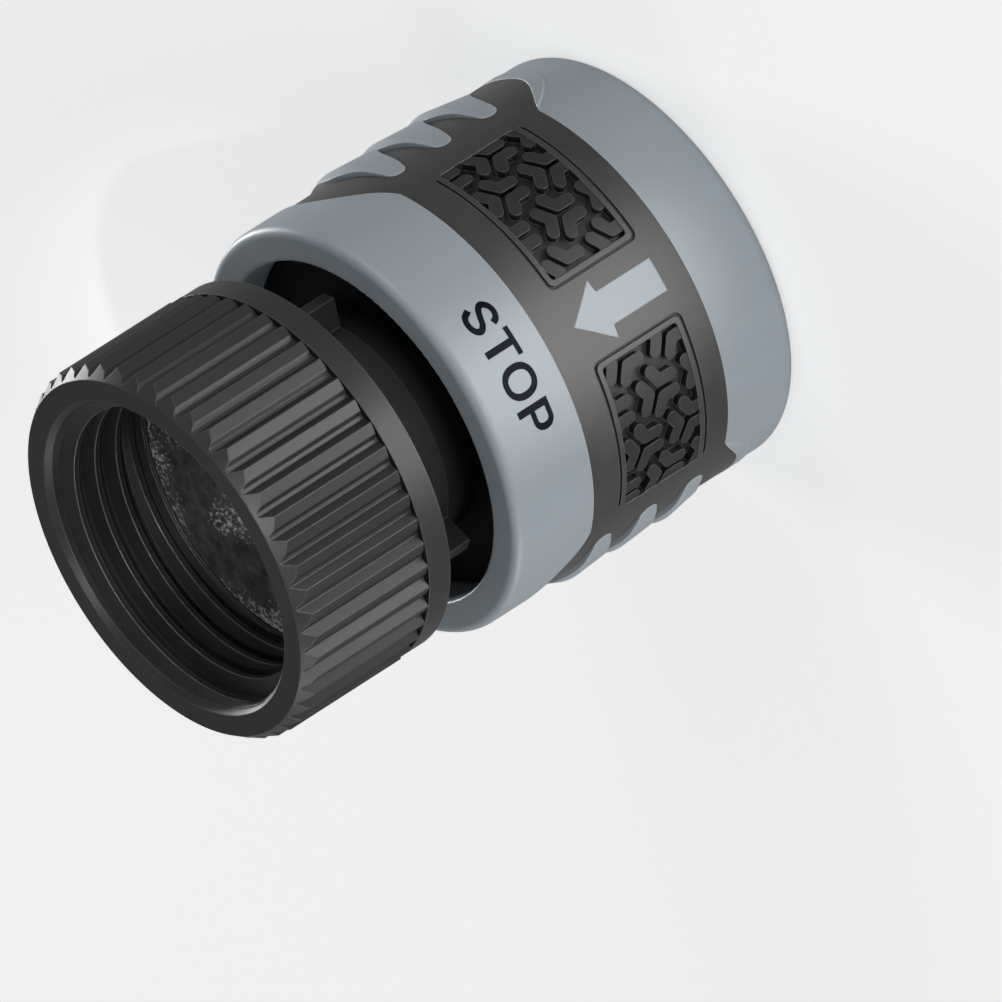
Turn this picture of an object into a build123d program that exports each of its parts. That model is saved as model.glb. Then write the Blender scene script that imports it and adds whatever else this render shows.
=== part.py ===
from build123d import *
import math
import os

# Garden hose quick coupler with a water stop, in millimetres.
# Z is the axis. It stands on the front face of its socket at Z = 0, with the threaded inlet up,
# and one of its two arrows faces -Y.

# Heights of the water way, stacked from the floor up
entry_length = 4.4           # plain bore below the jaw windows
jaw_tooth_height = 2.2
collar_bore_depth = 12.7     # wide bore for the collar of the mating nose
nose_bore_depth = 22.3       # the nose stops on the valve lip here
lip_thickness = 1.6
seal_thickness = 1.0
head_thickness = 2.2
valve_spring_room = 6.8
guide_flange = 1.0
gasket_thickness = 0.8
web_thickness = 2.7          # floor of the threaded socket
washer_thickness = 3.0
thread_reach = 10.1

# Threaded inlet
thread_radius = 13.62        # plain bore that carries the 3/4 inch hose thread
mouth_lead = 0.5
mouth_lead_width = 0.38
rib_count = 48
rib_wall = 3.08              # from the thread's bore to the ribs' crests
rib_chamfer_height = 1.2
rib_chamfer_width = 0.83
rib_length = 12.95
rib_parting = 0.15           # fine groove between the ribs and the smooth ring
ring_drop = 0.13             # the smooth ring lies this much below the ribs' crests
ring_height = 2.25
way_radius = 7.0
barrel_wall = 0.98
tail_depth = 5.1             # the socket body's tail goes this far into the barrel
fin_count = 3
fin_radius = 13.0
fin_thickness = 1.2
washer_hole_radius = 8.0
washer_seat_step = 0.32      # the washer's seat is a little narrower than the thread
washer_gap = 0.2
washer_seat_rise = 0.1

# Socket body
collar_bore_radius = 8.9
nose_bore_step = 0.65        # the bore for the nose is narrower than that for its collar
mouth_bore_step = 0.35       # the bore below the jaw windows is a little wider
entry_chamfer = 0.7
tube_wall = 2.0
front_collar_gap = 0.4       # to the cone in the sleeve's front bore
front_collar_height = 1.8
body_step = 0.5
stop_ridge_rise = 1.2
stop_ridge_height = 1.6
stop_gap = 0.02
seat_bore_radius = 6.0
tail_wall = 1.0
tail_fit = 0.02

# Valve
stem_radius = 2.0
stem_gap = 0.06
stem_length = 7.8
head_lap = 1.2               # the head covers this much of the seat
head_room = 1.1
cage_gap = 0.2
cage_wall = 1.2
cage_boss_height = 1.5
cage_ring_height = 1.3
cage_leg_width = 2.0
cage_leg_count = 4
valve_travel = 4.0
seal_gap = 0.05
seat_gap = 0.02
guide_hub_wall = 1.2
guide_hub_length = 4.0
guide_hub_above = 1.2
guide_opening_radius = 7.2
guide_spoke_width = 1.6
guide_spoke_count = 3
valve_coil_radius = 4.6
valve_wire = 0.55
valve_coil_count = 4

# Sleeve return spring and its seat
sleeve_travel = 4.5
sleeve_spring_room = 7.6
seat_collar_length = 4.5
seat_flange_height = 1.2
seat_collar_wall = 0.75
seat_rim_height = 1.0
seat_rim_wall = 0.5
seat_rim_gap = 0.4
seat_edge_gap = 0.3
coil_rim_gap = 0.3           # between the seat's rim and the coils round it
sleeve_wire = 0.8
sleeve_coil_count = 3
coil_gap = 0.02

# Sleeve shell
sleeve_foot = 0.2            # the sleeve ends just clear of the floor
sleeve_length = 30.3
grip_radius = 17.95
rear_ring_rise = 0.2
rear_ring_wall = 2.9
front_ring_drop = 0.07
rear_edge_round = 0.8
front_edge_round = 1.1
mouth_edge_round = 0.25
flange_height = 1.6
slide_gap = 0.05
cam_start = 1.0

# Soft grip and what shows through it
grip_low = 7.7
grip_high = 22.3
grip_depth = 1.35
pad_half_width = 10.25
pad_rise_rear = 3.87
pad_rise_front = 2.98
scale_count = 3
scale_pitch = 4.9
scale_drop = 0.2             # the lowest scale starts this much below the grip's edge
scale_half_width = 7.4
scale_crown = 6.0            # the scales' own curve, so that they fade out towards their tips
scale_edge_rise = 0.04       # heights of the scales above the grip's surface
scale_foot_rise = 0.34
scale_high_rise = 0.74
scale_low_rise = 0.46
scale_end_rise = 0.14
scale_crest_share = 0.2
lip_rise = 0.12              # raised lip of the front ring before each pad
lip_reach = 1.45
arrow_low = 10.15
arrow_shaft_top = 15.85
arrow_tip = 19.2
arrow_shaft_width = 2.95
arrow_head_width = 5.2

# Tread panels
panel_near = 3.3             # distance round the grip from the arrow's line
panel_margin = 0.25          # left between the panel and the finger pad
panel_low = 9.95
panel_height = 9.35
panel_corner = 0.7
groove_width = 0.25
groove_depth = 0.25
frame_width = 0.45
pocket_depth = 0.75
lug_drop = 0.1               # lugs stand this much below the grip's surface
lug_width = 1.05
lug_arm = 1.2
lug_channel = 0.42
lug_pitch = 4.75
lug_line = 8.33              # distance round the grip from the arrow's line to a lug junction
lug_height = 14.28

# Jaws
jaw_count = 4
jaw_travel = 1.5
jaw_reach_radius = 7.5
jaw_width = 6.0
jaw_plate_width = 8.4
jaw_plate_thickness = 1.1
jaw_plate_below = 1.0
jaw_plate_above = 1.0
jaw_lead = 1.2
cam_height = 2.0
cam_gap = 0.3
plate_cam_gap = 0.8
plate_room = 0.9             # left round the jaws' plates when they are open
window_gap = 0.1
plate_gap = 0.2

# Heights and radii that follow from the sizes above
seat_z = nose_bore_depth + lip_thickness
head_z = seat_z + seal_thickness
spring_z = head_z + head_thickness
tail_top_z = spring_z + valve_spring_room
guide_top_z = tail_top_z + guide_flange
gasket_top_z = guide_top_z + gasket_thickness
socket_floor_z = gasket_top_z + web_thickness
washer_top_z = socket_floor_z + washer_thickness
thread_low_z = washer_top_z + washer_seat_rise
mouth_z = washer_top_z + thread_reach
ring_top_z = mouth_z - rib_length - rib_parting
ring_low_z = ring_top_z - ring_height
barrel_low_z = gasket_top_z - tail_depth
sleeve_top_z = sleeve_foot + sleeve_length
mouth_radius = thread_radius + mouth_lead_width
rib_crest_radius = thread_radius + rib_wall
mouth_rim_radius = rib_crest_radius - rib_chamfer_width
ring_radius = rib_crest_radius - ring_drop
washer_seat_radius = thread_radius - washer_seat_step
mouth_way_radius = collar_bore_radius + mouth_bore_step
nose_bore_radius = collar_bore_radius - nose_bore_step
tube_radius = collar_bore_radius + tube_wall
body_radius = tube_radius + body_step
stop_ridge_radius = body_radius + stop_ridge_rise
cage_radius = seat_bore_radius - cage_gap
head_radius = seat_bore_radius + head_lap
chamber_radius = head_radius + head_room
tail_radius = chamber_radius + tail_wall
tail_bore_radius = tail_radius + tail_fit
barrel_radius = tail_bore_radius + barrel_wall
stem_bore_radius = stem_radius + stem_gap
seat_collar_radius = tail_bore_radius + seat_collar_wall
shoulder_z = barrel_low_z - seat_collar_length
flange_top_z = shoulder_z - sleeve_spring_room
flange_low_z = flange_top_z - flange_height
ridge_top_z = flange_low_z - stop_gap
tooth_low_z = entry_length + window_gap
tooth_top_z = tooth_low_z + jaw_tooth_height
window_top_z = tooth_top_z + window_gap
plate_inner = tube_radius + plate_gap
jaw_plate_radius = plate_inner + jaw_plate_thickness
cam_radius = jaw_plate_radius + plate_cam_gap
cam_slope = jaw_travel / sleeve_travel
cam_top_z = tooth_top_z + 0.2
cam_low_radius = cam_radius + cam_slope * (cam_top_z - sleeve_foot)
front_collar_radius = cam_low_radius - cam_slope * (front_collar_height - sleeve_foot) - front_collar_gap
inner_bore_radius = jaw_plate_radius + jaw_travel + plate_room
rear_ring_radius = grip_radius + rear_ring_rise
front_ring_radius = grip_radius - front_ring_drop
mouth_bore_radius = rear_ring_radius - rear_ring_wall
rim_radius = body_radius + seat_rim_gap
sleeve_coil_radius = rim_radius + seat_rim_wall + coil_rim_gap + sleeve_wire / 2
grip_floor_radius = grip_radius - grip_depth
root_radius = (grip_floor_radius + max(inner_bore_radius, mouth_bore_radius)) / 2
scale_base = grip_low - scale_drop
scale_foot_radius = grip_radius + scale_foot_rise
scale_high_radius = grip_radius + scale_high_rise
scale_low_radius = grip_radius + scale_low_rise
scale_end_radius = grip_radius + scale_end_rise
panel_width = grip_radius * math.pi / 2 - panel_near - pad_half_width - panel_margin
overrun = 1.0


def disc(radius, low, high):
    """A round solid between two heights."""
    return Pos(0, 0, low) * extrude(Circle(radius), high - low)


def pipe(inner, outer, low, high):
    """A plain tube between two heights."""
    return Pos(0, 0, low) * extrude(Circle(outer) - Circle(inner), high - low)


def turned(points):
    """A solid of revolution from (radius, height) points."""
    return revolve(Plane.XZ * make_face(Polyline(*points, close=True)), Axis.Z)


def round_edge(solid, radius, height, size):
    """Rounds the circular edges of a given radius and height."""
    found = [
        edge
        for edge in solid.edges().filter_by(GeomType.CIRCLE)
        if abs(edge.radius - radius) < 0.01 and abs(edge.arc_center.Z - height) < 0.01
    ]
    return fillet(found, size)


def spoke(inner, outer, width, low, high, angle):
    """A straight bar that runs outwards from the axis."""
    bar = Box(outer - inner, width, high - low, align=(Align.MIN, Align.CENTER, Align.MIN))
    return Rot(0, 0, angle) * Pos(inner, 0, low) * bar


def coil(radius, wire, turns, low, high):
    """A compression spring whose wire just touches both seats."""
    rise = high - low - wire - 2 * coil_gap
    path = Pos(0, 0, low + wire / 2 + coil_gap) * Helix(rise / turns, rise, radius)
    section = Plane(path @ 0, z_dir=path % 0) * Circle(wire / 2)
    return sweep(section, path=path, is_frenet=True)


def even_angles(count, first=0.0):
    return [first + 360.0 * k / count for k in range(count)]


def export(name, solid):
    solid.label = name
    export_step(solid, "parts/" + name + ".step")


# Inlet body
def rib_outline():
    """Saw-tooth ribs: a gentle fall from each crest, a short drop, a groove and a steep rise."""
    shape = [(0.0, 0.0), (0.43, 0.32), (0.58, 0.65), (0.72, 0.70)]
    pitch = 2 * math.pi / rib_count
    points = []
    for k in range(rib_count):
        for share, depth in shape:
            angle = -(k + share) * pitch
            radius = rib_crest_radius - depth
            points.append((radius * math.cos(angle), radius * math.sin(angle)))
    return make_face(Polyline(*points, close=True))


def make_inlet_body():
    rib_low_z = mouth_z - rib_length
    ribs = Pos(0, 0, rib_low_z) * extrude(rib_outline(), rib_length)
    ribs &= turned([
        (0, rib_low_z),
        (rib_crest_radius, rib_low_z),
        (rib_crest_radius, mouth_z - rib_chamfer_height),
        (mouth_rim_radius, mouth_z),
        (0, mouth_z),
    ])
    body = ribs + disc(mouth_rim_radius, ring_top_z, rib_low_z)
    body += disc(ring_radius, ring_low_z, ring_top_z)
    body += disc(barrel_radius, barrel_low_z, ring_low_z)
    for angle in even_angles(fin_count, 90):
        body += spoke(barrel_radius - 0.3, fin_radius, fin_thickness, barrel_low_z, ring_low_z, angle)
    body -= turned([
        (0, barrel_low_z),
        (tail_bore_radius, barrel_low_z),
        (tail_bore_radius, gasket_top_z),
        (way_radius, gasket_top_z),
        (way_radius, socket_floor_z),
        (washer_seat_radius, socket_floor_z),
        (washer_seat_radius, thread_low_z),
        (thread_radius, thread_low_z),
        (thread_radius, mouth_z - mouth_lead),
        (mouth_radius, mouth_z),
        (0, mouth_z),
    ])
    return body


def make_hose_washer():
    return pipe(washer_hole_radius, washer_seat_radius - washer_gap, socket_floor_z, washer_top_z)


def make_body_gasket():
    return pipe(way_radius + 0.4, tail_radius, guide_top_z, gasket_top_z)


# Socket body
def make_socket_body():
    body = turned([
        (mouth_way_radius + entry_chamfer, 0),
        (front_collar_radius, 0),
        (front_collar_radius, front_collar_height),
        (tube_radius, front_collar_height),
        (tube_radius, ridge_top_z - stop_ridge_height),
        (stop_ridge_radius, ridge_top_z - stop_ridge_height),
        (stop_ridge_radius, ridge_top_z),
        (body_radius, ridge_top_z),
        (body_radius, shoulder_z),
        (tail_radius, shoulder_z),
        (tail_radius, tail_top_z),
        (chamber_radius, tail_top_z),
        (chamber_radius, seat_z),
        (seat_bore_radius, seat_z),
        (seat_bore_radius, nose_bore_depth),
        (nose_bore_radius, nose_bore_depth),
        (nose_bore_radius, collar_bore_depth),
        (collar_bore_radius, collar_bore_depth),
        (collar_bore_radius, entry_length),
        (mouth_way_radius, entry_length),
        (mouth_way_radius, entry_chamfer),
    ])
    for angle in even_angles(jaw_count, 45):
        body -= spoke(
            jaw_reach_radius,
            tube_radius + overrun,
            jaw_width + 2 * window_gap,
            entry_length,
            window_top_z,
            angle,
        )
    return body


# Valve
def make_valve_guide():
    hub_radius = stem_bore_radius + guide_hub_wall
    hub_low_z = guide_top_z + guide_hub_above - guide_hub_length
    guide = pipe(guide_opening_radius, tail_radius, tail_top_z, guide_top_z)
    guide += pipe(stem_bore_radius, hub_radius, hub_low_z, hub_low_z + guide_hub_length)
    for angle in even_angles(guide_spoke_count, 90):
        guide += spoke(
            hub_radius - 0.3,
            guide_opening_radius + 0.3,
            guide_spoke_width,
            tail_top_z,
            guide_top_z,
            angle,
        )
    return guide


def make_valve_plunger():
    tip_z = nose_bore_depth - valve_travel
    plunger = turned([
        (0, head_z - cage_boss_height),
        (cage_radius, head_z - cage_boss_height),
        (cage_radius, head_z),
        (head_radius, head_z),
        (head_radius, spring_z),
        (stem_radius, spring_z),
        (stem_radius, spring_z + stem_length),
        (0, spring_z + stem_length),
    ])
    plunger += pipe(cage_radius - cage_wall, cage_radius, tip_z, tip_z + cage_ring_height)
    cage = pipe(cage_radius - cage_wall, cage_radius, tip_z, head_z)
    for angle in even_angles(cage_leg_count, 45):
        plunger += cage & spoke(0, cage_radius + overrun, cage_leg_width, tip_z, head_z, angle)
    return plunger


def make_valve_seal():
    return pipe(cage_radius + seal_gap, head_radius, seat_z + seat_gap, head_z)


# Sleeve spring seat
def make_spring_seat():
    flange_radius = mouth_bore_radius - seat_edge_gap
    seat = pipe(tail_bore_radius, seat_collar_radius, shoulder_z, barrel_low_z)
    seat += pipe(tail_bore_radius, flange_radius, shoulder_z, shoulder_z + seat_flange_height)
    seat += pipe(rim_radius, rim_radius + seat_rim_wall, shoulder_z - seat_rim_height, shoulder_z)
    return seat


# Sleeve
def on_grip(distance):
    """Distance round the grip to the width that a straight stamp has there."""
    return grip_radius * math.sin(distance / grip_radius)


def stamp(face, angle):
    """Pushes an outline (sideways, height) outwards through the sleeve's wall."""
    middle = Plane(origin=(0, 0, 0), x_dir=(0, 1, 0), z_dir=(1, 0, 0))
    return Rot(0, 0, angle) * extrude(middle * face, scale_high_radius + overrun)


def pad_outline(reach=0.0):
    """The soft grip reaches further up and down where the fingers press."""
    rear = [(0.0, 1.0), (0.28, 0.965), (0.62, 0.62), (0.83, 0.23), (1.0, 0.0)]
    front = [(0.0, 0.98), (0.3, 0.98), (0.5, 0.94), (0.66, 0.755), (0.86, 0.315), (1.0, 0.0)]
    half = on_grip(pad_half_width - reach / 5)
    top = [(x * half, grip_high + y * pad_rise_rear) for x, y in rear]
    low = [(x * half, grip_low - y * pad_rise_front - reach * min(1.0, 2.5 * y)) for x, y in front]
    mirrored_top = [(-x, z) for x, z in reversed(top[1:])]
    mirrored_low = [(-x, z) for x, z in reversed(low[1:])]
    top_line = Spline(*(mirrored_top + top))
    low_line = Spline(*(mirrored_low + low))
    sides = Line(top[-1], low[-1]) + Line(mirrored_top[0], mirrored_low[0])
    return make_face(top_line + low_line + sides)


def make_scale_face():
    """One finger scale: a crescent between two curved edges, with round tips."""
    upper_edge = [(0.0, 0.08), (0.17, 0.1), (0.36, 0.16), (0.57, 0.215), (0.78, 0.25), (0.9, 0.285)]
    lower_edge = [(0.9, 0.665), (0.73, 0.73), (0.58, 0.77), (0.4, 0.83), (0.17, 0.98), (0.0, 1.09)]
    half = on_grip(scale_half_width)
    upper = [(x * half, -y * scale_pitch) for x, y in upper_edge]
    lower = [(x * half, -y * scale_pitch) for x, y in lower_edge]
    tip = (half, -0.47 * scale_pitch)
    mirrored_upper = [(-x, z) for x, z in reversed(upper[1:])]
    mirrored_lower = [(-x, z) for x, z in reversed(lower[:-1])]
    mirrored_tip = (-tip[0], tip[1])
    edge_top = Spline(*(mirrored_upper + upper))
    edge_low = Spline(*(lower + mirrored_lower))
    right = ThreePointArc(upper[-1], tip, lower[0])
    left = ThreePointArc(mirrored_lower[-1], mirrored_tip, mirrored_upper[0])
    return make_face(edge_top + right + edge_low + left)


def scale_profile():
    """The scales' surface in section: a short bevel up to a crest, then a long slope down."""
    lowest = scale_base - scale_pitch
    highest = scale_base + scale_count * scale_pitch
    points = [(0, highest)]
    for k in range(scale_count, 0, -1):
        top = scale_base + (k - 0.08) * scale_pitch
        low_radius = scale_low_radius if k > 1 else scale_end_radius
        points.append((scale_foot_radius - scale_crown, top))
        points.append((scale_high_radius - scale_crown, top - scale_crest_share * scale_pitch))
        points.append((low_radius - scale_crown, top - scale_pitch))
    points.append((scale_end_radius - scale_crown, lowest))
    points.append((0, lowest))
    section = Pos(scale_crown, 0, 0) * turned(points)
    section &= pipe(root_radius, scale_high_radius + overrun, lowest, highest)
    return section + pipe(root_radius, grip_radius + scale_edge_rise, lowest, highest)


def make_finger_scales():
    """Three scales on each side of the sleeve."""
    section = scale_profile()
    face = make_scale_face()
    side = None
    for k in range(1, scale_count + 1):
        one = stamp(Pos(0, scale_base + k * scale_pitch) * face, 0) & section
        side = one if side is None else side + one
    return side, Rot(0, 0, 180) * side


def make_arrows():
    half_shaft = on_grip(arrow_shaft_width / 2)
    half_head = on_grip(arrow_head_width / 2)
    outline = [
        (-half_shaft, arrow_low),
        (half_shaft, arrow_low),
        (half_shaft, arrow_shaft_top),
        (half_head, arrow_shaft_top + 0.15),
        (0, arrow_tip),
        (-half_head, arrow_shaft_top + 0.15),
        (-half_shaft, arrow_shaft_top),
    ]
    face = make_face(Polyline(*outline, close=True))
    wall = pipe(root_radius, grip_radius, arrow_low - overrun, arrow_tip + overrun)
    return [stamp(face, angle) & wall for angle in (-90, 90)]


def make_grip_zone():
    """The space that the soft grip fills, with the finger pads' larger outline."""
    zone = pipe(grip_floor_radius, rear_ring_radius + overrun, grip_low, grip_high)
    wall = pipe(
        grip_floor_radius,
        rear_ring_radius + overrun,
        grip_low - pad_rise_front - overrun,
        grip_high + pad_rise_rear + overrun,
    )
    for angle in (0, 180):
        zone += stamp(pad_outline(), angle) & wall
    return zone


def make_sleeve_blank():
    middle_z = (grip_low + grip_high) / 2
    blank = turned([
        (mouth_bore_radius, sleeve_top_z),
        (rear_ring_radius, sleeve_top_z),
        (rear_ring_radius, middle_z),
        (front_ring_radius, middle_z),
        (front_ring_radius, sleeve_foot),
        (cam_low_radius, sleeve_foot),
        (cam_radius, cam_top_z),
        (inner_bore_radius, cam_top_z + cam_start),
        (inner_bore_radius, flange_low_z),
        (body_radius + slide_gap, flange_low_z),
        (body_radius + slide_gap, flange_top_z),
        (mouth_bore_radius, flange_top_z),
    ])
    rear_round = min(rear_edge_round, 0.45 * rear_ring_wall)
    front_round = min(front_edge_round, 0.45 * (front_ring_radius - cam_low_radius))
    blank = round_edge(blank, rear_ring_radius, sleeve_top_z, rear_round)
    blank = round_edge(blank, mouth_bore_radius, sleeve_top_z, mouth_edge_round)
    return round_edge(blank, front_ring_radius, sleeve_foot, front_round)


def panel_block(inset, far_inset, inner, outer, side, facing):
    """A rounded rectangle on the grip between two radii, set in from its sides and its far end."""
    near = panel_near + inset
    width = panel_width - inset - far_inset
    low = panel_low + inset
    height = panel_height - 2 * inset
    section = Pos((inner + outer) / 2, low + height / 2) * Rectangle(outer - inner, height)
    sweep_angle = math.degrees(width / grip_radius)
    block = revolve(Plane.XZ * section, Axis.Z, revolution_arc=sweep_angle)
    corners = [
        edge
        for edge in block.edges().filter_by(GeomType.LINE)
        if abs(edge.position_at(0).Z - edge.position_at(1).Z) < 0.01
    ]
    block = fillet(corners, max(panel_corner - inset / 2, 0.3))
    start = near if side > 0 else -near - width
    return Rot(0, 0, facing + math.degrees(start / grip_radius)) * block


def lug_cluster():
    """Three bent lugs round a Y-shaped channel."""
    bend = (lug_channel + lug_width) / 2 / math.sin(math.radians(60))
    lug = None
    for lean in (-60, 60):
        arm = Rot(0, 0, lean) * Pos(0, lug_arm / 2) * Rot(0, 0, 90) * SlotCenterToCenter(lug_arm, lug_width)
        lug = arm if lug is None else lug + arm
    face = None
    for turn in (0, 120, 240):
        one = Rot(0, 0, turn) * Pos(0, bend) * lug
        face = one if face is None else face + one
    root = grip_radius - pocket_depth - 0.2
    wall = Plane(origin=(root, 0, 0), x_dir=(0, 1, 0), z_dir=(1, 0, 0))
    return extrude(wall * face, grip_radius + overrun - root)


def lug_places():
    """Junctions of the lugs on a triangular grid: (distance from the arrow's line, height)."""
    row_step = lug_pitch * math.sin(math.radians(60))
    places = []
    for row in range(-2, 4):
        distance = lug_line + row * row_step
        for k in range(-3, 4):
            height = lug_height + (k + (row % 2) / 2) * lug_pitch
            in_width = panel_near < distance < panel_near + panel_width
            in_height = panel_low - lug_arm < height < panel_low + panel_height + lug_arm
            if in_width and in_height:
                places.append((distance, height))
    return places


def make_panel_lugs(side):
    """The lugs of one panel, on either side of the arrow's line, before it is turned into place."""
    cluster = lug_cluster()
    root = grip_radius - pocket_depth - 0.2
    edge = groove_width + frame_width - 0.1
    block = panel_block(edge, -0.1, root, grip_radius - lug_drop, side, 0)
    lugs = []
    for distance, height in lug_places():
        moved = Rot(0, 0, math.degrees(side * distance / grip_radius)) * Pos(0, 0, height) * cluster
        lugs.extend((block & moved).solids())
    return lugs


def make_grip_cover(zone, scales, arrows):
    wall = pipe(
        grip_floor_radius,
        grip_radius,
        grip_low - pad_rise_front - overrun,
        grip_high + pad_rise_rear + overrun,
    )
    cover = zone & wall
    for piece in [*scales, *arrows]:
        cover -= piece
    top = grip_radius + overrun
    for side in (1, -1):
        lugs = make_panel_lugs(side)
        for facing in (-90, 90):
            groove = panel_block(0, 0, grip_radius - groove_depth, top, side, facing)
            inside = grip_radius - 2 * groove_depth
            groove -= panel_block(groove_width, -overrun, inside, top + 1, side, facing)
            cover -= groove
            cover -= panel_block(
                groove_width + frame_width,
                0,
                grip_radius - pocket_depth,
                top,
                side,
                facing,
            )
            cover += [Rot(0, 0, facing) * lug for lug in lugs]
    return cover


def make_lips():
    """The front ring swells a little before each pad."""
    foot_z = grip_low - pad_rise_front - lip_reach
    top_radius = front_ring_radius + lip_rise
    section = turned([
        (grip_floor_radius, grip_low),
        (top_radius, grip_low),
        (top_radius, foot_z + lip_rise),
        (front_ring_radius, foot_z - lip_rise),
        (grip_floor_radius, foot_z - lip_rise),
    ])
    return [stamp(pad_outline(lip_reach), angle) & section for angle in (0, 180)]


def make_sleeve_shell(zone, scales, arrows):
    shell = make_sleeve_blank()
    for lip in make_lips():
        shell += lip
    shell -= zone
    for piece in [*scales, *arrows]:
        shell += piece
    return shell


# Jaws
def make_lock_jaw(angle):
    cam_z = tooth_top_z - cam_height + 0.2
    tooth = turned([
        (jaw_reach_radius, tooth_top_z),
        (jaw_reach_radius, tooth_low_z + jaw_lead),
        (jaw_reach_radius + jaw_lead, tooth_low_z),
        (plate_inner + 0.5, tooth_low_z),
        (plate_inner + 0.5, tooth_top_z),
    ])
    cam_high_radius = cam_radius - cam_gap
    cam_foot_radius = cam_high_radius + cam_slope * (cam_top_z - cam_z)
    plate = turned([
        (plate_inner, tooth_low_z - jaw_plate_below),
        (jaw_plate_radius, tooth_low_z - jaw_plate_below),
        (jaw_plate_radius, cam_z),
        (cam_foot_radius, cam_z),
        (cam_high_radius, cam_top_z),
        (jaw_plate_radius, cam_top_z),
        (jaw_plate_radius, tooth_top_z + jaw_plate_above),
        (plate_inner, tooth_top_z + jaw_plate_above),
    ])
    reach = cam_foot_radius + overrun
    tooth &= spoke(0, reach, jaw_width, 0, mouth_z, 0)
    plate &= spoke(0, reach, jaw_plate_width, 0, mouth_z, 0)
    return Rot(0, 0, angle) * (tooth + plate)


def main():
    os.makedirs("parts", exist_ok=True)
    export("inlet_body", make_inlet_body())
    export("hose_washer", make_hose_washer())
    export("body_gasket", make_body_gasket())
    export("socket_body", make_socket_body())
    export("valve_guide", make_valve_guide())
    export("valve_plunger", make_valve_plunger())
    export("valve_seal", make_valve_seal())
    valve_spring = coil(valve_coil_radius, valve_wire, valve_coil_count, spring_z, tail_top_z)
    export("valve_spring", valve_spring)
    export("spring_seat", make_spring_seat())
    sleeve_spring = coil(sleeve_coil_radius, sleeve_wire, sleeve_coil_count, flange_top_z, shoulder_z)
    export("sleeve_spring", sleeve_spring)
    zone = make_grip_zone()
    scales = make_finger_scales()
    arrows = make_arrows()
    export("sleeve_shell", make_sleeve_shell(zone, scales, arrows))
    export("grip_cover", make_grip_cover(zone, scales, arrows))
    for number, angle in enumerate(even_angles(jaw_count, 45), 1):
        export("lock_jaw_" + str(number), make_lock_jaw(angle))


main()
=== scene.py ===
import math

import bmesh
import bpy
from mathutils import Matrix, Vector


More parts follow.
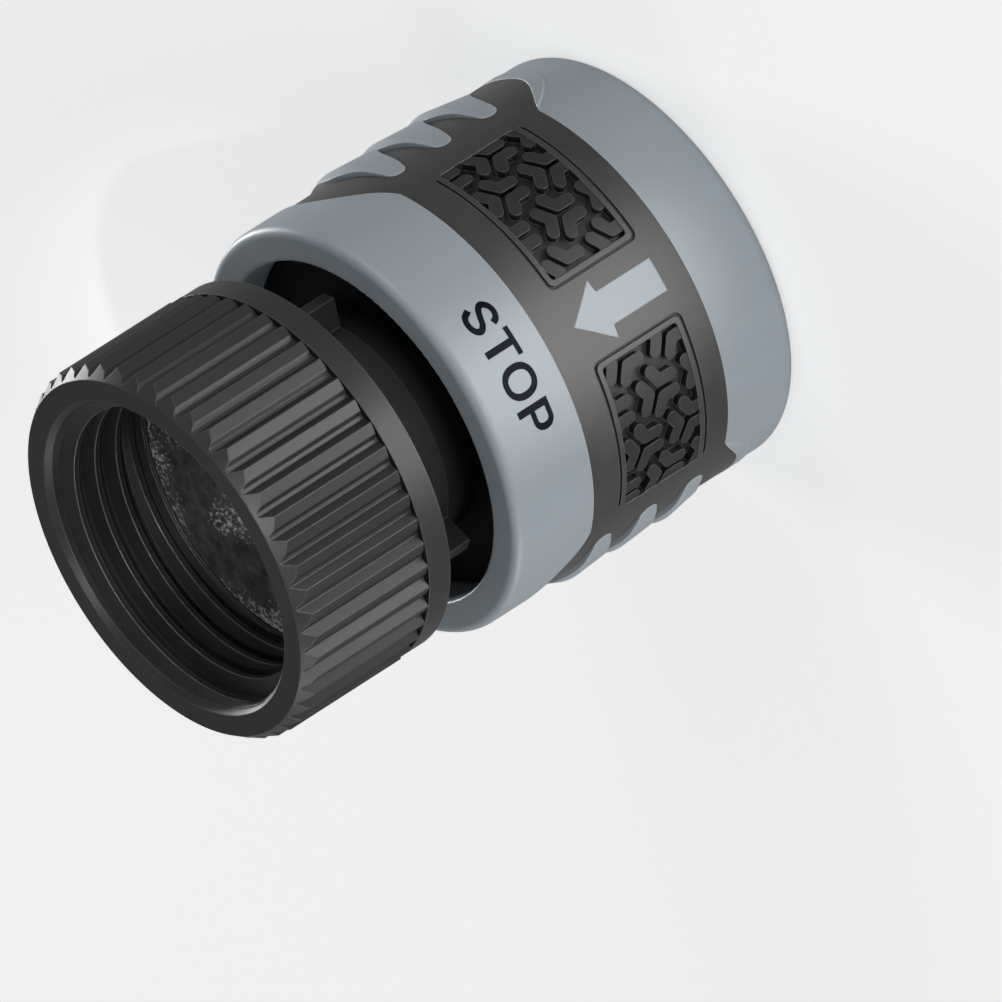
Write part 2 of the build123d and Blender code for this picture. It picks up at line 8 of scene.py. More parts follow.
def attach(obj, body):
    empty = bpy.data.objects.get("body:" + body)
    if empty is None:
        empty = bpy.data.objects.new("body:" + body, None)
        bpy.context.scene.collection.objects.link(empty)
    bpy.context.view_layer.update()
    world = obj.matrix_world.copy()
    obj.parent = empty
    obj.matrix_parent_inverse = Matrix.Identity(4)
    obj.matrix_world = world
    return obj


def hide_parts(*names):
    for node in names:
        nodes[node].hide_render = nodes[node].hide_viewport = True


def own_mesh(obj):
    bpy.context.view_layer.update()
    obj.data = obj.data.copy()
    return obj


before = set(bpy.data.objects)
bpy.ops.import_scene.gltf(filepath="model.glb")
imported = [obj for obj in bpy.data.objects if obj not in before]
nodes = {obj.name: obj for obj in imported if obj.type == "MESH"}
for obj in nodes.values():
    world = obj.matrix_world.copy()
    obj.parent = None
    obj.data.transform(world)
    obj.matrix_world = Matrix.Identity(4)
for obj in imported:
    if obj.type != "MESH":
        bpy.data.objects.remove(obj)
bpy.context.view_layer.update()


# Inlet body. One black glass-filled nylon moulding: the threaded socket with its ribbed grip,
# the smooth ring under it and the finned barrel. The socket body is pushed up into the barrel.
def moulded_plastic(name, colour, shade, roughness, grain, edge_wear_and_highlight, edge_round=0.00014):
    """Injection-moulded plastic: a fine spark-eroded grain, slow flow marks along the pull and
    slightly lighter edges, partly wear and partly a painted edge highlight."""
    material = bpy.data.materials.new(name)
    material.use_nodes = True
    tree = material.node_tree
    shader = tree.nodes["Principled BSDF"]
    shader.inputs["Specular IOR Level"].default_value = 0.5
    place = tree.nodes.new("ShaderNodeTexCoord")

    flow_map = tree.nodes.new("ShaderNodeMapping")
    flow_map.inputs["Scale"].default_value = (1.0, 1.0, 0.22)
    tree.links.new(place.outputs["Object"], flow_map.inputs["Vector"])
    flow = tree.nodes.new("ShaderNodeTexNoise")
    flow.inputs["Scale"].default_value = 260.0
    flow.inputs["Detail"].default_value = 4.0
    tree.links.new(flow_map.outputs["Vector"], flow.inputs["Vector"])

    tone = tree.nodes.new("ShaderNodeValToRGB")
    tone.color_ramp.elements[0].position = 0.3
    tone.color_ramp.elements[0].color = (*shade, 1.0)
    tone.color_ramp.elements[1].position = 0.72
    tone.color_ramp.elements[1].color = (*colour, 1.0)
    tree.links.new(flow.outputs["Fac"], tone.inputs["Fac"])

    soft_edge = tree.nodes.new("ShaderNodeBevel")
    soft_edge.samples = 6
    soft_edge.inputs["Radius"].default_value = edge_round
    face = tree.nodes.new("ShaderNodeNewGeometry")
    turn = tree.nodes.new("ShaderNodeVectorMath")
    turn.operation = "DOT_PRODUCT"
    tree.links.new(soft_edge.outputs["Normal"], turn.inputs[0])
    tree.links.new(face.outputs["Normal"], turn.inputs[1])
    # Painted highlight: the colour is lightened along the rounded edges, partly as wear and partly
    # to stand in for the thin highlights the edges catch.
    wear_and_highlight = tree.nodes.new("ShaderNodeMapRange")
    wear_and_highlight.inputs["From Min"].default_value = 0.995
    wear_and_highlight.inputs["From Max"].default_value = 0.86
    wear_and_highlight.inputs["To Max"].default_value = edge_wear_and_highlight
    tree.links.new(turn.outputs["Value"], wear_and_highlight.inputs["Value"])
    worn_and_highlit = tree.nodes.new("ShaderNodeMix")
    worn_and_highlit.data_type = "RGBA"
    worn_and_highlit.blend_type = "ADD"
    tree.links.new(wear_and_highlight.outputs["Result"], worn_and_highlit.inputs["Factor"])
    tree.links.new(tone.outputs["Color"], worn_and_highlit.inputs["A"])
    worn_and_highlit.inputs["B"].default_value = (0.35, 0.36, 0.37, 1.0)
    tree.links.new(worn_and_highlit.outputs["Result"], shader.inputs["Base Color"])

    pores = tree.nodes.new("ShaderNodeTexNoise")
    pores.inputs["Scale"].default_value = 9000.0
    pores.inputs["Detail"].default_value = 2.0
    tree.links.new(place.outputs["Object"], pores.inputs["Vector"])
    bump = tree.nodes.new("ShaderNodeBump")
    bump.inputs["Strength"].default_value = grain
    bump.inputs["Distance"].default_value = 0.00003
    tree.links.new(pores.outputs["Fac"], bump.inputs["Height"])
    tree.links.new(soft_edge.outputs["Normal"], bump.inputs["Normal"])
    tree.links.new(bump.outputs["Normal"], shader.inputs["Normal"])

    polish = tree.nodes.new("ShaderNodeMapRange")
    polish.inputs["To Min"].default_value = roughness - 0.05
    polish.inputs["To Max"].default_value = roughness + 0.09
    tree.links.new(flow.outputs["Fac"], polish.inputs["Value"])
    tree.links.new(polish.outputs["Result"], shader.inputs["Roughness"])
    return material


def finish_node(node, material):
    """Gives a carried-over solid its finish."""
    nodes[node].data.materials.clear()
    nodes[node].data.materials.append(material)


black_nylon = moulded_plastic(
    "black_nylon", colour=(0.020, 0.0203, 0.0208), shade=(0.014, 0.0143, 0.0148), roughness=0.42,
    grain=0.35, edge_wear_and_highlight=0.22,
)
finish_node("inlet_body", black_nylon)


# Hose thread. About three and a half turns of ridge moulded inside the threaded socket, with a
# flat crest. It grows out of the wall above the washer and fades again near the mouth.
thread_pitch = 0.0254 / 11.5
thread_wall = 0.01366
thread_crest = 0.0124
thread_foot_half = 0.00080
thread_crest_half = 0.00022
thread_low = 0.0428
thread_high = 0.0504
thread_start = math.radians(32)
run_in_turns = 0.35
run_out_turns = 0.22
steps_per_turn = 144


def lofted_ring(name, sections, material, body):
    """A closed solid skinned over a row of like sections, capped at both ends."""
    mesh = bpy.data.meshes.new(name)
    form = bmesh.new()
    rows = [[form.verts.new(point) for point in section] for section in sections]
    count = len(rows[0])
    for near, far in zip(rows, rows[1:]):
        for k in range(count):
            form.faces.new((near[k], near[(k + 1) % count], far[(k + 1) % count], far[k]))
    form.faces.new(list(reversed(rows[0])))
    form.faces.new(rows[-1])
    bmesh.ops.recalc_face_normals(form, faces=form.faces[:])
    form.to_mesh(mesh)
    form.free()
    mesh.materials.append(material)
    piece = bpy.data.objects.new(name, mesh)
    bpy.context.scene.collection.objects.link(piece)
    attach(piece, body)
    return piece


thread_turns = (thread_high - thread_low) / thread_pitch
thread_sections = []
for step in range(int(thread_turns * steps_per_turn) + 1):
    turn = step / steps_per_turn
    angle = 2 * math.pi * turn + thread_start
    growth = min(1.0, turn / run_in_turns, (thread_turns - turn) / run_out_turns)
    growth = max(growth, 0.02)
    crest = thread_wall - (thread_wall - thread_crest) * math.sin(growth * math.pi / 2)
    middle = thread_low + turn * thread_pitch
    outline = [
        (thread_wall, -thread_foot_half),
        (crest, -thread_crest_half),
        (crest, thread_crest_half),
        (thread_wall, thread_foot_half),
    ]
    thread_sections.append(
        [(r * math.cos(angle), r * math.sin(angle), middle + rise) for r, rise in outline]
    )
# The edge lightening is set high so that the thread crests carry painted highlight lines.
thread_nylon = moulded_plastic(
    "thread_nylon", colour=(0.020, 0.0203, 0.0208), shade=(0.014, 0.0143, 0.0148), roughness=0.36,
    grain=0.1, edge_wear_and_highlight=0.55,
)
hose_thread = lofted_ring("hose_thread", thread_sections, thread_nylon, "core")


# Hose washer. A flat black rubber ring, punched from sheet and pressed into its seat under the
# thread. Its face is coarse from the sheet's cloth, and it is slightly wet-looking. Pale flecks on
# its high spots are a painted glint.
def cut_rubber(name, colour, roughness, coarse):
    """Cut or moulded rubber: coarse, cloudy and a little greasy."""
    material = bpy.data.materials.new(name)
    material.use_nodes = True
    tree = material.node_tree
    shader = tree.nodes["Principled BSDF"]
    shader.inputs["Specular IOR Level"].default_value = 0.42
    place = tree.nodes.new("ShaderNodeTexCoord")
    cloud = tree.nodes.new("ShaderNodeTexNoise")
    cloud.inputs["Scale"].default_value = 700.0
    cloud.inputs["Detail"].default_value = 6.0
    cloud.inputs["Roughness"].default_value = 0.62
    tree.links.new(place.outputs["Object"], cloud.inputs["Vector"])
    tone = tree.nodes.new("ShaderNodeValToRGB")
    tone.color_ramp.elements[0].position = 0.35
    tone.color_ramp.elements[0].color = (*(part * 0.6 for part in colour), 1.0)
    tone.color_ramp.elements[1].position = 0.7
    tone.color_ramp.elements[1].color = (*(part * 1.5 for part in colour), 1.0)
    tree.links.new(cloud.outputs["Fac"], tone.inputs["Fac"])
    tree.links.new(tone.outputs["Color"], shader.inputs["Base Color"])
    shine = tree.nodes.new("ShaderNodeMapRange")
    shine.inputs["To Min"].default_value = roughness - 0.14
    shine.inputs["To Max"].default_value = roughness + 0.16
    tree.links.new(cloud.outputs["Fac"], shine.inputs["Value"])
    tree.links.new(shine.outputs["Result"], shader.inputs["Roughness"])
    weave = tree.nodes.new("ShaderNodeTexVoronoi")
    weave.inputs["Scale"].default_value = 2600.0
    tree.links.new(place.outputs["Object"], weave.inputs["Vector"])
    relief = tree.nodes.new("ShaderNodeBump")
    relief.inputs["Strength"].default_value = coarse
    relief.inputs["Distance"].default_value = 0.00006
    tree.links.new(weave.outputs["Distance"], relief.inputs["Height"])
    tree.links.new(relief.outputs["Normal"], shader.inputs["Normal"])
    return material


def chalky_flecks(material, colour, amount):
    """Painted glint: pale flecks on the high spots of the rubber, standing in for the light it
    catches.
    """
    tree = material.node_tree
    shader = tree.nodes["Principled BSDF"]
    under = shader.inputs["Base Color"].links[0].from_socket
    place = tree.nodes.new("ShaderNodeTexCoord")
    fleck_noise = tree.nodes.new("ShaderNodeTexNoise")
    fleck_noise.inputs["Scale"].default_value = 3400.0
    fleck_noise.inputs["Detail"].default_value = 3.0
    tree.links.new(place.outputs["Object"], fleck_noise.inputs["Vector"])
    patch = tree.nodes.new("ShaderNodeTexNoise")
    patch.inputs["Scale"].default_value = 150.0
    patch.inputs["Detail"].default_value = 1.0
    tree.links.new(place.outputs["Object"], patch.inputs["Vector"])
    spread = tree.nodes.new("ShaderNodeMath")
    spread.operation = "MULTIPLY"
    tree.links.new(fleck_noise.outputs["Fac"], spread.inputs[0])
    tree.links.new(patch.outputs["Fac"], spread.inputs[1])
    share = tree.nodes.new("ShaderNodeMapRange")
    share.inputs["From Min"].default_value = 0.25
    share.inputs["From Max"].default_value = 0.36
    share.inputs["To Max"].default_value = amount
    tree.links.new(spread.outputs["Value"], share.inputs["Value"])
    glint_paint = tree.nodes.new("ShaderNodeMix")
    glint_paint.data_type = "RGBA"
    tree.links.new(share.outputs["Result"], glint_paint.inputs["Factor"])
    tree.links.new(under, glint_paint.inputs["A"])
    glint_paint.inputs["B"].default_value = (*colour, 1.0)
    tree.links.new(glint_paint.outputs["Result"], shader.inputs["Base Color"])


seal_rubber = cut_rubber("seal_rubber", colour=(0.045, 0.045, 0.046), roughness=0.42, coarse=1.0)
# The pale flecks are painted glint on the washer's coarse face.
chalky_flecks(seal_rubber, colour=(0.46, 0.46, 0.45), amount=0.85)
finish_node("hose_washer", seal_rubber)


# Body gasket. A thin moulded rubber ring, squeezed between the barrel's shoulder and the valve
# guide, so that no water passes round the socket body's tail.
gasket_rubber = cut_rubber(
    "gasket_rubber", colour=(0.026, 0.026, 0.027), roughness=0.55, coarse=0.4
)
finish_node("body_gasket", gasket_rubber)


# Valve guide. A three-spoked ring of natural white acetal, clamped under the gasket. The valve's
# stem slides in its hub.
white_acetal = moulded_plastic(
    "white_acetal", colour=(0.70, 0.69, 0.65), shade=(0.62, 0.61, 0.57), roughness=0.36,
    grain=0.2, edge_wear_and_highlight=0.05,
)
finish_node("valve_guide", white_acetal)


# Valve plunger and its seal. The plunger is one acetal moulding: stem, head and a four-legged
# cage that the mating nose pushes back. The seal is a soft ring snapped round the cage's root.
finish_node("valve_plunger", white_acetal)
valve_rubber = cut_rubber("valve_rubber", colour=(0.030, 0.029, 0.028), roughness=0.48, coarse=0.3)
finish_node("valve_seal", valve_rubber)


# Valve spring. Stainless wire wound cold, with the end turns closed and ground flat. It sits on
# the plunger's head and pushes off the guide.
def spring_wire(name):
    """Drawn stainless wire: fine die lines along the wire and a faint heat tint."""
    material = bpy.data.materials.new(name)
    material.use_nodes = True
    tree = material.node_tree
    shader = tree.nodes["Principled BSDF"]
    shader.inputs["Metallic"].default_value = 1.0
    place = tree.nodes.new("ShaderNodeTexCoord")
    lines_map = tree.nodes.new("ShaderNodeMapping")
    lines_map.inputs["Scale"].default_value = (1.0, 1.0, 14.0)
    tree.links.new(place.outputs["Object"], lines_map.inputs["Vector"])
    lines = tree.nodes.new("ShaderNodeTexNoise")
    lines.inputs["Scale"].default_value = 900.0
    lines.inputs["Detail"].default_value = 3.0
    tree.links.new(lines_map.outputs["Vector"], lines.inputs["Vector"])
    tint = tree.nodes.new("ShaderNodeValToRGB")
    tint.color_ramp.elements[0].color = (0.42, 0.41, 0.40, 1.0)
    tint.color_ramp.elements[1].color = (0.66, 0.66, 0.67, 1.0)
    tree.links.new(lines.outputs["Fac"], tint.inputs["Fac"])
    tree.links.new(tint.outputs["Color"], shader.inputs["Base Color"])
    shine = tree.nodes.new("ShaderNodeMapRange")
    shine.inputs["To Min"].default_value = 0.2
    shine.inputs["To Max"].default_value = 0.38
    tree.links.new(lines.outputs["Fac"], shine.inputs["Value"])
    tree.links.new(shine.outputs["Result"], shader.inputs["Roughness"])
    return material


def compression_spring(name, radius, wire, open_turns, low, high, material):
    """A round-wire spring between two seats, with a closed, flattened turn at each end."""
    half = wire / 2
    turns = open_turns + 2
    steps = int(turns * 48)
    sides = 14
    sections = []
    for step in range(steps + 1):
        turn = turns * step / steps
        angle = 2 * math.pi * turn
        free = high - low - 2 * wire
        if turn < 1:
            height = low + half + wire * turn / 2
        elif turn > turns - 1:
            height = high - half - wire * (turns - turn) / 2
        else:
            height = low + wire + free * (turn - 1) / open_turns
        ring = []
        for k in range(sides):
            a = 2 * math.pi * k / sides
            r = radius + half * math.cos(a)
            z = min(max(height + half * math.sin(a), low), high)
            ring.append((r * math.cos(angle), r * math.sin(angle), z))
        sections.append(ring)
    piece = lofted_ring(name, sections, material, "core")
    for face in piece.data.polygons:
        face.use_smooth = True
    return piece


drawn_steel = spring_wire("drawn_steel")
finish_node("valve_spring", drawn_steel)
valve_spring_low = 0.02711
valve_spring_high = 0.03389
valve_coil = compression_spring(
    "valve_coil", radius=0.0046, wire=0.00055, open_turns=3.0,
    low=valve_spring_low, high=valve_spring_high, material=drawn_steel,
)
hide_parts("valve_spring")
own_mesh(valve_coil)


# Socket body. The second black moulding: the smooth socket that the mating nose enters, its four
# jaw windows, the seat of the valve and the front collar on which the coupler stands.
socket_nylon = moulded_plastic(
    "socket_nylon", colour=(0.040, 0.041, 0.043), shade=(0.031, 0.032, 0.034), roughness=0.36,
    grain=0.22, edge_wear_and_highlight=0.08,
)
finish_node("socket_body", socket_nylon)


# Spring seat. A black top-hat ring that slips over the tail of the socket body; the barrel of
# the inlet body traps it, and the sleeve's spring pushes up against its flange.
# Painted shade: the seat's nylon is much darker and duller than the other black mouldings, so the
# deep gap inside the sleeve reads as shadow.
seat_nylon_painted_shade = moulded_plastic(
    "seat_nylon_painted_shade", colour=(0.010, 0.010, 0.0105), shade=(0.007, 0.007, 0.0075), roughness=0.62,
    grain=0.3, edge_wear_and_highlight=0.02,
)
seat_nylon_painted_shade.node_tree.nodes["Principled BSDF"].inputs["Specular IOR Level"].default_value = 0.2
finish_node("spring_seat", seat_nylon_painted_shade)


# Sleeve spring. A wide stainless spring between the spring seat and the sleeve's inner flange.
# It pushes the sleeve forward again after a release.
finish_node("sleeve_spring", drawn_steel)
sleeve_spring_low = 0.01851
sleeve_spring_high = 0.02609
sleeve_coil = compression_spring(
    "sleeve_coil", radius=0.0130, wire=0.0008, open_turns=1.6,
    low=sleeve_spring_low, high=sleeve_spring_high, material=drawn_steel,
)
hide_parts("sleeve_spring")
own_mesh(sleeve_coil)


# Sleeve shell. Blue-grey polypropylene with a satin skin: the two rings, the three finger scales
# on each side and the arrows, all one moulding that shows through the softer grip.
# Its strong edge lightening paints thin highlight lines along the rims, scales and arrows, partly
# as wear.
blue_grey = moulded_plastic(
    "blue_grey", colour=(0.345, 0.395, 0.435), shade=(0.325, 0.372, 0.410), roughness=0.40,
    grain=0.18, edge_wear_and_highlight=0.8, edge_round=0.00020,
)
finish_node("sleeve_shell", blue_grey)


# STOP mark. Pad-printed in blue-black ink on the sleeve's rear ring, above the arrow that shows
# which way the sleeve is pulled. The letters' tops point to the front of the sleeve.
rear_ring_radius = 0.01815
ink_rise = 0.000012
print_radius = rear_ring_radius + ink_rise
print_foot = 0.02747
print_middle = math.radians(-90)


def printing_ink(name):
    """Blue-black ink: nearly even, with pinholes where it missed the grain."""
    material = bpy.data.materials.new(name)
    material.use_nodes = True
    tree = material.node_tree
    shader = tree.nodes["Principled BSDF"]
    shader.inputs["Specular IOR Level"].default_value = 0.05
    place = tree.nodes.new("ShaderNodeTexCoord")
    cover = tree.nodes.new("ShaderNodeTexNoise")
    cover.inputs["Scale"].default_value = 5200.0
    cover.inputs["Detail"].default_value = 3.0
    tree.links.new(place.outputs["Object"], cover.inputs["Vector"])
    tone = tree.nodes.new("ShaderNodeValToRGB")
    tone.color_ramp.elements[0].position = 0.22
    tone.color_ramp.elements[0].color = (0.014, 0.019, 0.026, 1.0)
    tone.color_ramp.elements[1].position = 0.42
    tone.color_ramp.elements[1].color = (0.0022, 0.0042, 0.0080, 1.0)
    tree.links.new(cover.outputs["Fac"], tone.inputs["Fac"])
    tree.links.new(tone.outputs["Color"], shader.inputs["Base Color"])
    shine = tree.nodes.new("ShaderNodeMapRange")
    shine.inputs["To Min"].default_value = 0.30
    shine.inputs["To Max"].default_value = 0.44
    tree.links.new(cover.outputs["Fac"], shine.inputs["Value"])
    tree.links.new(shine.outputs["Result"], shader.inputs["Roughness"])
    return material


def smooth_line(points, closed=False):
    """A smooth line through its points, in short even steps."""
    count = len(points)
    spans = count if closed else count - 1
    line = []
    for k in range(spans):
        p1, p2 = Vector(points[k]), Vector(points[(k + 1) % count])
        p0 = Vector(points[k - 1]) if closed or k > 0 else p1
        p3 = Vector(points[(k + 2) % count]) if closed or k < spans - 1 else p2
        steps = max(2, int((p2 - p1).length / 0.06))
        for step in range(steps):
            u = step / steps
            line.append(
                0.5 * (
                    2 * p1 + (p2 - p0) * u + (2 * p0 - 5 * p1 + 4 * p2 - p3) * u * u
                    + (3 * p1 - p0 - 3 * p2 + p3) * u ** 3
                )
            )
    if not closed:
        line.append(Vector(points[-1]))
    return line


def pen_stroke(form, line, upright, level, closed=False):
    """Lays a flat stroke on the ring, with its points given in millimetres. Its width goes from
    level to upright with its direction."""
    count = len(line)
    pairs = []
    for k, point in enumerate(line):
        back = line[k - 1] if closed or k > 0 else line[0]
        ahead = line[(k + 1) % count] if closed or k < count - 1 else line[-1]
        run = (ahead - back).normalized()
        width = math.sqrt((upright * run.y) ** 2 + (level * run.x) ** 2)
        side = Vector((-run.y, run.x)) * width / 2
        pair = []
        for edge in (point + side, point - side):
            angle = print_middle - edge.x / 1000 / rear_ring_radius
            pair.append(
                form.verts.new((
                    print_radius * math.cos(angle),
                    print_radius * math.sin(angle),
                    print_foot - edge.y / 1000,
                ))
            )
        pairs.append(pair)
    for k in range(count if closed else count - 1):
        near, far = pairs[k], pairs[(k + 1) % count]
        form.faces.new((near[0], near[1], far[1], far[0]))


letters = bmesh.new()
s_line = [
    (-3.80, 2.24), (-4.00, 2.66), (-4.56, 2.87), (-5.16, 2.72), (-5.52, 2.26), (-5.30, 1.84),
    (-4.70, 1.56), (-4.08, 1.34), (-3.71, 0.92), (-3.94, 0.46), (-4.60, 0.24), (-5.28, 0.42),
    (-5.64, 1.02),
]
pen_stroke(letters, smooth_line(s_line), upright=0.58, level=0.50)
pen_stroke(letters, smooth_line([(-3.05, 2.86), (-0.55, 2.86)]), upright=0.60, level=0.47)
pen_stroke(letters, smooth_line([(-1.81, 0.02), (-1.81, 2.625)]), upright=0.62, level=0.50)
o_line = []
o_points = 28
o_fullness = 0.9
for step in range(o_points):
    a = 2 * math.pi * step / o_points
    across = math.copysign(abs(math.cos(a)) ** o_fullness, math.cos(a))
    along = math.copysign(abs(math.sin(a)) ** o_fullness, math.sin(a))
    o_line.append((1.25 + 1.20 * across, 1.545 + 1.32 * along))
pen_stroke(letters, smooth_line(o_line, closed=True), upright=0.60, level=0.52, closed=True)
pen_stroke(letters, smooth_line([(3.62, 0.02), (3.62, 3.10)]), upright=0.62, level=0.50)
p_line = [
    (3.93, 2.86), (4.50, 2.86), (4.98, 2.84), (5.34, 2.58), (5.45, 2.11), (5.32, 1.66),
    (4.98, 1.40), (4.50, 1.37), (3.93, 1.37),
]
pen_stroke(letters, smooth_line(p_line), upright=0.60, level=0.47)
bmesh.ops.recalc_face_normals(letters, faces=letters.faces[:])
for face in letters.faces:
    outward = face.calc_center_median()
    if face.normal.dot(Vector((outward.x, outward.y, 0))) < 0:
        face.normal_flip()
letter_mesh = bpy.data.meshes.new("stop_mark")
letters.to_mesh(letter_mesh)
letters.free()
letter_mesh.materials.append(printing_ink("blue_black_ink"))
stop_mark = bpy.data.objects.new("stop_mark", letter_mesh)
bpy.context.scene.collection.objects.link(stop_mark)
ink_layer = stop_mark.modifiers.new("ink_layer", "SOLIDIFY")
ink_layer.thickness = 0.00003
ink_layer.offset = -1.0
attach(stop_mark, "sleeve")


# Grip cover. A thermoplastic rubber moulded over the shell in a second shot: dark warm grey and
# matt, with a soft sheen at a low angle, a fine stipple and painted shade in the hollows between
# the treads.
def soft_grip_rubber(name):
    """Soft rubber: paler edges, partly wear and partly painted highlight, painted shade in the
    hollows and down in the treads, and a duller skin there.
    """
    material = bpy.data.materials.new(name)
    material.use_nodes = True
    tree = material.node_tree
    shader = tree.nodes["Principled BSDF"]
    shader.inputs["Specular IOR Level"].default_value = 0.62
    shader.inputs["Sheen Weight"].default_value = 0.10
    shader.inputs["Sheen Roughness"].default_value = 0.35
    place = tree.nodes.new("ShaderNodeTexCoord")
    cloud = tree.nodes.new("ShaderNodeTexNoise")
    cloud.inputs["Scale"].default_value = 420.0
    cloud.inputs["Detail"].default_value = 5.0
    tree.links.new(place.outputs["Object"], cloud.inputs["Vector"])
    tone = tree.nodes.new("ShaderNodeValToRGB")
    tone.color_ramp.elements[0].position = 0.3
    tone.color_ramp.elements[0].color = (0.024, 0.0232, 0.0225, 1.0)
    tone.color_ramp.elements[1].position = 0.7
    tone.color_ramp.elements[1].color = (0.035, 0.0338, 0.0326, 1.0)
    tree.links.new(cloud.outputs["Fac"], tone.inputs["Fac"])
    # Painted shade: the colour is darkened towards black where the hollows close in.
    hollow = tree.nodes.new("ShaderNodeAmbientOcclusion")
    hollow.samples = 6
    hollow.inputs["Distance"].default_value = 0.0010
    depth = tree.nodes.new("ShaderNodeMapRange")
    depth.inputs["From Min"].default_value = 0.35
    depth.inputs["From Max"].default_value = 0.95
    tree.links.new(hollow.outputs["AO"], depth.inputs["Value"])
    shaded = tree.nodes.new("ShaderNodeMix")
    shaded.data_type = "RGBA"
    shaded.inputs["A"].default_value = (0.002, 0.002, 0.002, 1.0)
    tree.links.new(depth.outputs["Result"], shaded.inputs["Factor"])
    tree.links.new(tone.outputs["Color"], shaded.inputs["B"])
    round_part = tree.nodes.new("ShaderNodeVectorMath")
    round_part.operation = "MULTIPLY"
    round_part.inputs[1].default_value = (1.0, 1.0, 0.0)
    tree.links.new(place.outputs["Object"], round_part.inputs[0])
    from_axis = tree.nodes.new("ShaderNodeVectorMath")
    from_axis.operation = "LENGTH"
    tree.links.new(round_part.outputs["Vector"], from_axis.inputs[0])
    tread = tree.nodes.new("ShaderNodeMapRange")
    tread.inputs["From Min"].default_value = 0.01792
    tread.inputs["From Max"].default_value = 0.01786
    tree.links.new(from_axis.outputs["Value"], tread.inputs["Value"])
    # Painted shade: the colour down in the treads is multiplied darker.
    painted_tread_shade = tree.nodes.new("ShaderNodeMix")
    painted_tread_shade.data_type = "RGBA"
    painted_tread_shade.blend_type = "MULTIPLY"
    painted_tread_shade.inputs["B"].default_value = (0.62, 0.62, 0.62, 1.0)
    tree.links.new(tread.outputs["Result"], painted_tread_shade.inputs["Factor"])
    tree.links.new(shaded.outputs["Result"], painted_tread_shade.inputs["A"])
    skin = tree.nodes.new("ShaderNodeMapRange")
    skin.inputs["To Min"].default_value = 0.62
    skin.inputs["To Max"].default_value = 0.38
    tree.links.new(tread.outputs["Result"], skin.inputs["Value"])
    tree.links.new(skin.outputs["Result"], shader.inputs["Specular IOR Level"])
    face = tree.nodes.new("ShaderNodeNewGeometry")
    soft_edge = tree.nodes.new("ShaderNodeBevel")
    soft_edge.samples = 6
    soft_edge.inputs["Radius"].default_value = 0.00012
    turn = tree.nodes.new("ShaderNodeVectorMath")
    turn.operation = "DOT_PRODUCT"
    tree.links.new(soft_edge.outputs["Normal"], turn.inputs[0])
    tree.links.new(face.outputs["Normal"], turn.inputs[1])
    # Painted highlight: the edges are lightened, partly as wear and partly to stand in for their
    # thin highlights.
    wear_and_highlight = tree.nodes.new("ShaderNodeMapRange")
    wear_and_highlight.inputs["From Min"].default_value = 0.99
    wear_and_highlight.inputs["From Max"].default_value = 0.84
    wear_and_highlight.inputs["To Max"].default_value = 0.75
    tree.links.new(turn.outputs["Value"], wear_and_highlight.inputs["Value"])
    worn_and_highlit = tree.nodes.new("ShaderNodeMix")
    worn_and_highlit.data_type = "RGBA"
    tree.links.new(wear_and_highlight.outputs["Result"], worn_and_highlit.inputs["Factor"])
    tree.links.new(painted_tread_shade.outputs["Result"], worn_and_highlit.inputs["A"])
    worn_and_highlit.inputs["B"].default_value = (0.14, 0.137, 0.133, 1.0)
    tree.links.new(worn_and_highlit.outputs["Result"], shader.inputs["Base Color"])
    shine = tree.nodes.new("ShaderNodeMapRange")
    shine.inputs["To Min"].default_value = 0.44
    shine.inputs["To Max"].default_value = 0.56
    tree.links.new(cloud.outputs["Fac"], shine.inputs["Value"])
    tree.links.new(shine.outputs["Result"], shader.inputs["Roughness"])
    stipple = tree.nodes.new("ShaderNodeTexNoise")
    stipple.inputs["Scale"].default_value = 7000.0
    stipple.inputs["Detail"].default_value = 1.0
    tree.links.new(place.outputs["Object"], stipple.inputs["Vector"])
    bump = tree.nodes.new("ShaderNodeBump")
    bump.inputs["Strength"].default_value = 0.5
    bump.inputs["Distance"].default_value = 0.00003
    tree.links.new(stipple.outputs["Fac"], bump.inputs["Height"])
    tree.links.new(soft_edge.outputs["Normal"], bump.inputs["Normal"])
    tree.links.new(bump.outputs["Normal"], shader.inputs["Normal"])
    return material


finish_node("grip_cover", soft_grip_rubber("soft_grip_rubber"))


# Lock jaws. Four acetal blocks that close behind the collar of the mating nose. The cone in the
# sleeve's front bore lets them move outwards when the sleeve is pulled back.
for number in range(1, 5):
    finish_node("lock_jaw_" + str(number), white_acetal)


# Floor. A sheet of white board, with the part's own soft shadow left on it.
floor_mesh = bpy.data.meshes.new("floor")
floor_form = bmesh.new()
bmesh.ops.create_grid(floor_form, x_segments=2, y_segments=2, size=1.6)
floor_form.to_mesh(floor_mesh)
floor_form.free()
floor = bpy.data.objects.new("floor", floor_mesh)
bpy.context.scene.collection.objects.link(floor)
board = bpy.data.materials.new("white_board")
board.use_nodes = True
board_tree = board.node_tree
board_shader = board_tree.nodes["Principled BSDF"]
board_shader.inputs["Base Color"].default_value = (0.86, 0.86, 0.86, 1.0)
board_shader.inputs["Roughness"].default_value = 0.9
board_shader.inputs["Specular IOR Level"].default_value = 0.1
board_glow = board_tree.nodes.new("ShaderNodeEmission")
board_ray = board_tree.nodes.new("ShaderNodeLightPath")
board_share = board_tree.nodes.new("ShaderNodeMath")
board_share.operation = "MULTIPLY"
board_share.inputs[1].default_value = 0.50
board_sum = board_tree.nodes.new("ShaderNodeAddShader")
board_out = board_tree.nodes["Material Output"]
board_tree.links.new(board_ray.outputs["Is Camera Ray"], board_share.inputs[0])
board_tree.links.new(board_share.outputs["Value"], board_glow.inputs["Strength"])
board_tree.links.new(board_shader.outputs["BSDF"], board_sum.inputs[0])
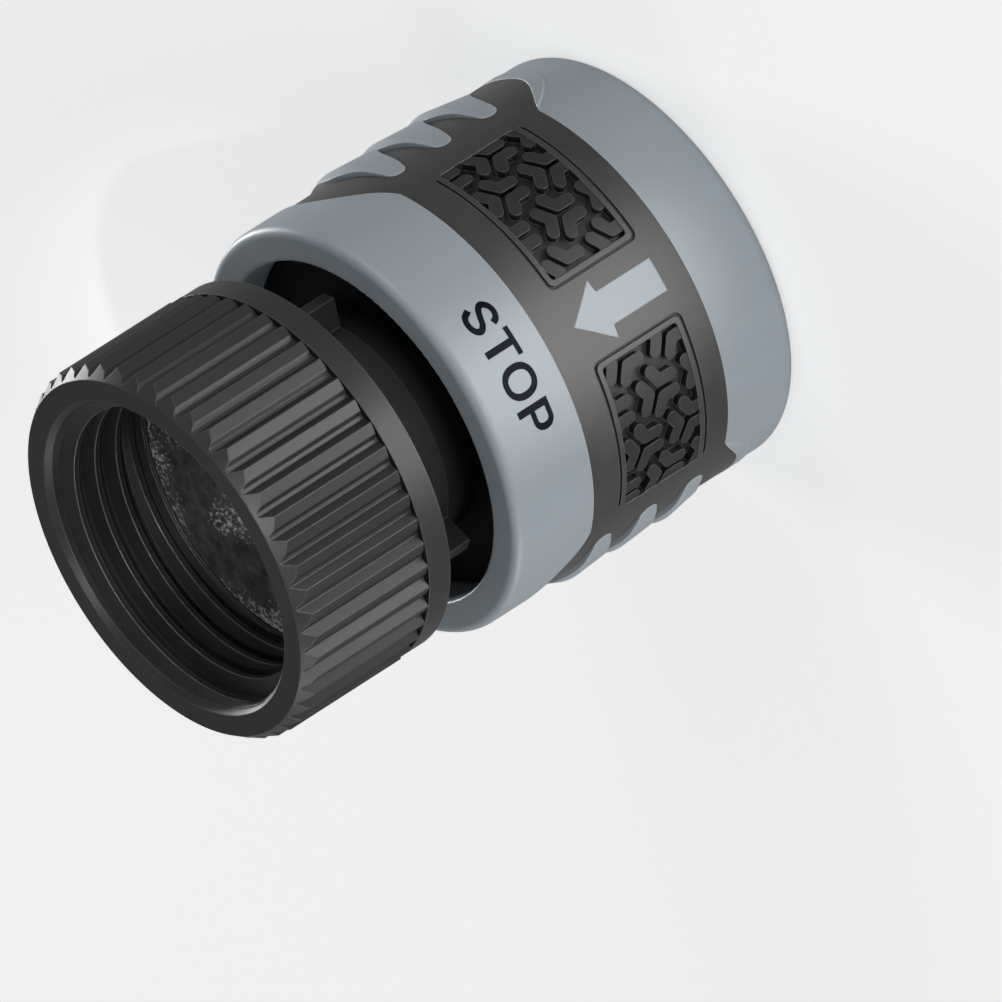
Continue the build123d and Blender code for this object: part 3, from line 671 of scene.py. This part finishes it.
board_tree.links.new(board_glow.outputs["Emission"], board_sum.inputs[1])
board_tree.links.new(board_sum.outputs["Shader"], board_out.inputs["Surface"])
floor_mesh.materials.append(board)


# Light. A pale room that is dim overhead, four soft lamps low round the part, a small lit panel on
# the floor in front that draws the long sheen beside the arrow, and a narrow spot into the mouth.
room = bpy.data.worlds.new("pale_room")
bpy.context.scene.world = room
room.use_nodes = True
room_tree = room.node_tree
room_light = room_tree.nodes["Background"]
room_light.inputs["Color"].default_value = (1.0, 1.0, 1.0, 1.0)
room_place = room_tree.nodes.new("ShaderNodeTexCoord")
room_split = room_tree.nodes.new("ShaderNodeSeparateXYZ")
room_fade = room_tree.nodes.new("ShaderNodeMapRange")
room_fade.inputs["From Max"].default_value = 0.8
room_fade.inputs["To Min"].default_value = 0.42
room_fade.inputs["To Max"].default_value = 0.15
room_tree.links.new(room_place.outputs["Generated"], room_split.inputs["Vector"])
room_tree.links.new(room_split.outputs["Z"], room_fade.inputs["Value"])
room_tree.links.new(room_fade.outputs["Result"], room_light.inputs["Strength"])
backdrop = room_tree.nodes.new("ShaderNodeBackground")
backdrop.inputs["Color"].default_value = (0.93, 0.93, 0.93, 1.0)
room_ray = room_tree.nodes.new("ShaderNodeLightPath")
room_mix = room_tree.nodes.new("ShaderNodeMixShader")
room_tree.links.new(room_ray.outputs["Is Camera Ray"], room_mix.inputs["Fac"])
room_tree.links.new(room_light.outputs["Background"], room_mix.inputs[1])
room_tree.links.new(backdrop.outputs["Background"], room_mix.inputs[2])
room_tree.links.new(room_mix.outputs["Shader"], room_tree.nodes["World Output"].inputs["Surface"])


def soft_lamp(name, azimuth, height, distance, width, tall, power):
    """A large soft lamp, seen from the part at an azimuth and an angle above the floor."""
    lamp_data = bpy.data.lights.new(name, "AREA")
    lamp_data.shape = "RECTANGLE"
    lamp_data.size = width
    lamp_data.size_y = tall
    lamp_data.energy = power
    lamp = bpy.data.objects.new(name, lamp_data)
    bpy.context.scene.collection.objects.link(lamp)
    a, e = math.radians(azimuth), math.radians(height)
    away = Vector((math.cos(a) * math.cos(e), math.sin(a) * math.cos(e), math.sin(e)))
    middle_of_part = Vector((0.0, 0.0, 0.026))
    lamp.location = middle_of_part + away * distance
    lamp.rotation_euler = (-away).to_track_quat("-Z", "Y").to_euler()
    lamp.visible_camera = False
    return lamp


soft_lamp(
    "front_lamp", azimuth=-108, height=10, distance=0.70, width=0.40, tall=0.20, power=2.1
)
soft_lamp(
    "right_lamp", azimuth=-28, height=10, distance=0.70, width=0.30, tall=0.20, power=0.9
)
soft_lamp(
    "left_lamp", azimuth=172, height=10, distance=0.70, width=0.30, tall=0.20, power=1.2
)
soft_lamp(
    "back_lamp", azimuth=60, height=3.5, distance=0.60, width=0.18, tall=0.04, power=1.9
)
panel = soft_lamp(
    "floor_panel", azimuth=-96, height=0, distance=0.08, width=0.05, tall=0.10, power=0.08
)
panel.location.z = 0.0006
panel.rotation_euler = (math.pi, 0.0, 0.0)
panel.visible_diffuse = False
mouth_spot_data = bpy.data.lights.new("mouth_spot", "SPOT")
mouth_spot_data.energy = 9.0
mouth_spot_data.spot_size = math.radians(2.8)
mouth_spot_data.spot_blend = 0.6
mouth_spot_data.shadow_soft_size = 0.012
mouth_spot = bpy.data.objects.new("mouth_spot", mouth_spot_data)
bpy.context.scene.collection.objects.link(mouth_spot)
washer_face = Vector((0.0, 0.006, 0.0435))
spot_side = Vector((-0.04, -0.78, 0.62)).normalized()
spot_distance = 0.5
mouth_spot.location = washer_face + spot_side * spot_distance
mouth_spot.rotation_euler = (-spot_side).to_track_quat("-Z", "Y").to_euler()
mouth_spot.visible_camera = False


# Camera. A long lens that looks down at the mouth of the inlet, rolled so that the coupler lies
# from lower left to upper right.
tilt = math.radians(29.24)
roll_x, roll_y = 0.8421, 0.5393
swing = math.radians(6.8)
left_side = Vector((math.cos(swing), math.sin(swing), 0))
near_side = Vector((math.sin(swing), -math.cos(swing), 0))
downward = Vector((0, 0, -1))
along_view = downward * math.cos(tilt) + near_side * math.sin(tilt)
sight = downward * math.sin(tilt) - near_side * math.cos(tilt)
picture_right = along_view * roll_x - left_side * roll_y
picture_up = along_view * roll_y + left_side * roll_x
mouth = Vector((0, 0, 0.0515))
aim = mouth + picture_right * 0.02647 + picture_up * 0.004505
camera_distance = 3.277
camera_data = bpy.data.cameras.new("camera")
camera_data.lens = 1500
camera_data.sensor_width = 36
camera = bpy.data.objects.new("camera", camera_data)
bpy.context.scene.collection.objects.link(camera)
pose = Matrix((picture_right, picture_up, -sight)).transposed().to_4x4()
pose.translation = aim - sight * camera_distance
camera.matrix_world = pose
bpy.context.scene.camera = camera
bpy.context.scene.view_settings.view_transform = "Standard"
